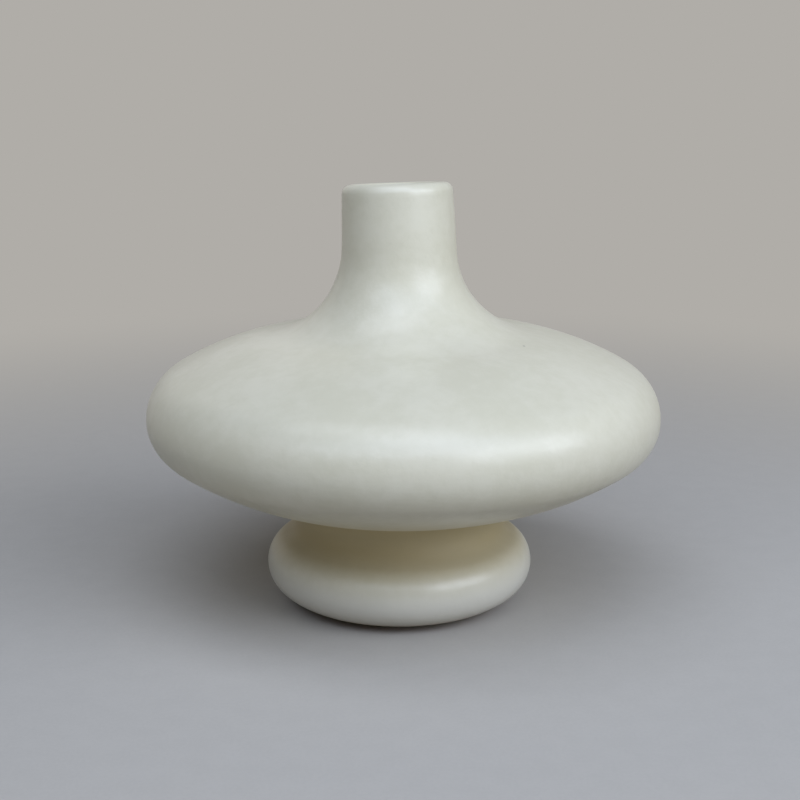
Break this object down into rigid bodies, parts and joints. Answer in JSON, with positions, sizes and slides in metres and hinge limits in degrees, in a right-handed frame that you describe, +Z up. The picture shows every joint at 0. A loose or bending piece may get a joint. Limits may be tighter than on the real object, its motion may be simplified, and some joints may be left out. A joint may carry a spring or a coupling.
{
  "type": "pillow vase",
  "caption": "Squat stoneware vase with a flattened pillow body, a short upright neck with a rounded lip and a waisted round foot, glazed ivory; holds flowers and water.",
  "frame": {"origin": "centre of the foot ring's resting face, on the surface that the vase stands on", "axes": "+Z up along the turning axis, out of the mouth; +X and +Y are level and the vase is round"},
  "size_m": [0.23, 0.23, 0.1896],
  "materials": {
    "ivory_glaze": "smooth ivory glaze with a soft satin sheen, faint mottling and a few tiny iron specks",
    "liner_glaze": "the same ivory glaze inside, a little glossier where it pooled",
    "bare_stoneware": "fired buff stoneware, unglazed, with fine turning lines and iron specks",
    "joining_slip": "fired slip of the same clay, finer and smoother"
  },
  "bodies": {
    "root": {"foot_ring": "bare_stoneware", "ring_slip_seam": "joining_slip", "foot_bowl": "bare_stoneware", "waist_slip_seam": "joining_slip", "belly_bowl": "bare_stoneware", "belly_slip_seam": "joining_slip", "shoulder_bowl": "bare_stoneware", "neck_slip_seam": "joining_slip", "neck": "bare_stoneware", "outer_glaze": "ivory_glaze", "liner_glaze": "liner_glaze"}
  },
  "joints": []
}
